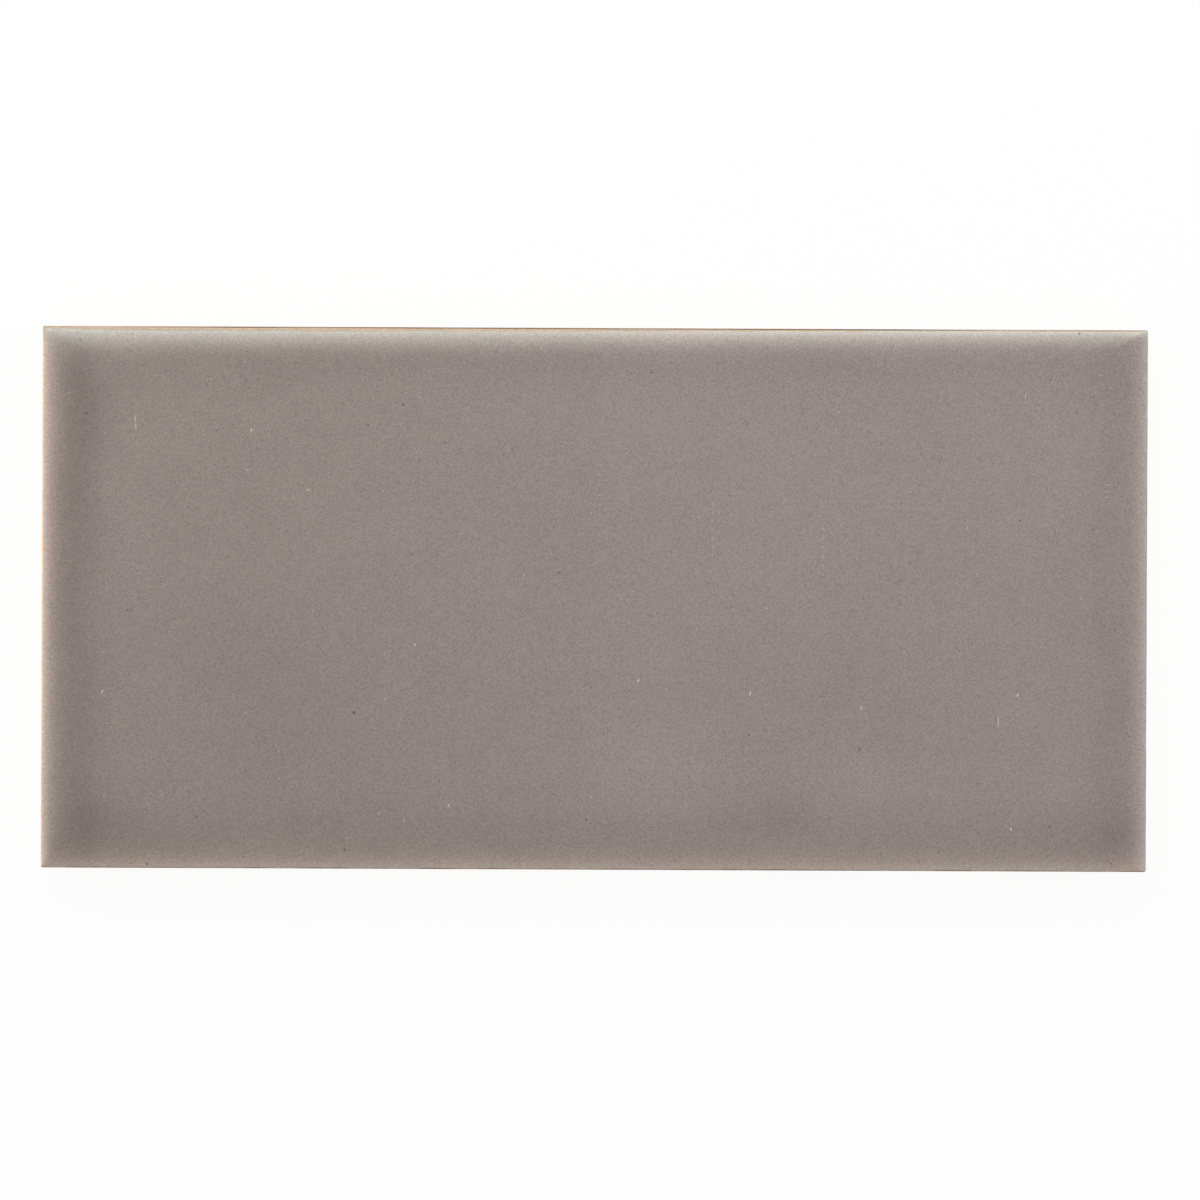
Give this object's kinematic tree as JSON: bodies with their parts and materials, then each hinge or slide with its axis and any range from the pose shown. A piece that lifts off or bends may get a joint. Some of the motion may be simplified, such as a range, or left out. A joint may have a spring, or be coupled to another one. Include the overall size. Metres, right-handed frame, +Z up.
{
  "type": "field tile",
  "caption": "Rectangular glazed ceramic wall tile with a cushioned face edge, drafted walls and a keyed back, laid flat for setting in adhesive.",
  "frame": {"origin": "middle of the back, in the plane that the tile rests on", "axes": "+X along the tile's length, +Y across it, +Z up out of the glazed face"},
  "size_m": [0.15, 0.0738, 0.008],
  "materials": {
    "glazed_ceramic": "gloss"
  },
  "bodies": {
    "root": {"field_tile": "glazed_ceramic"}
  },
  "joints": []
}
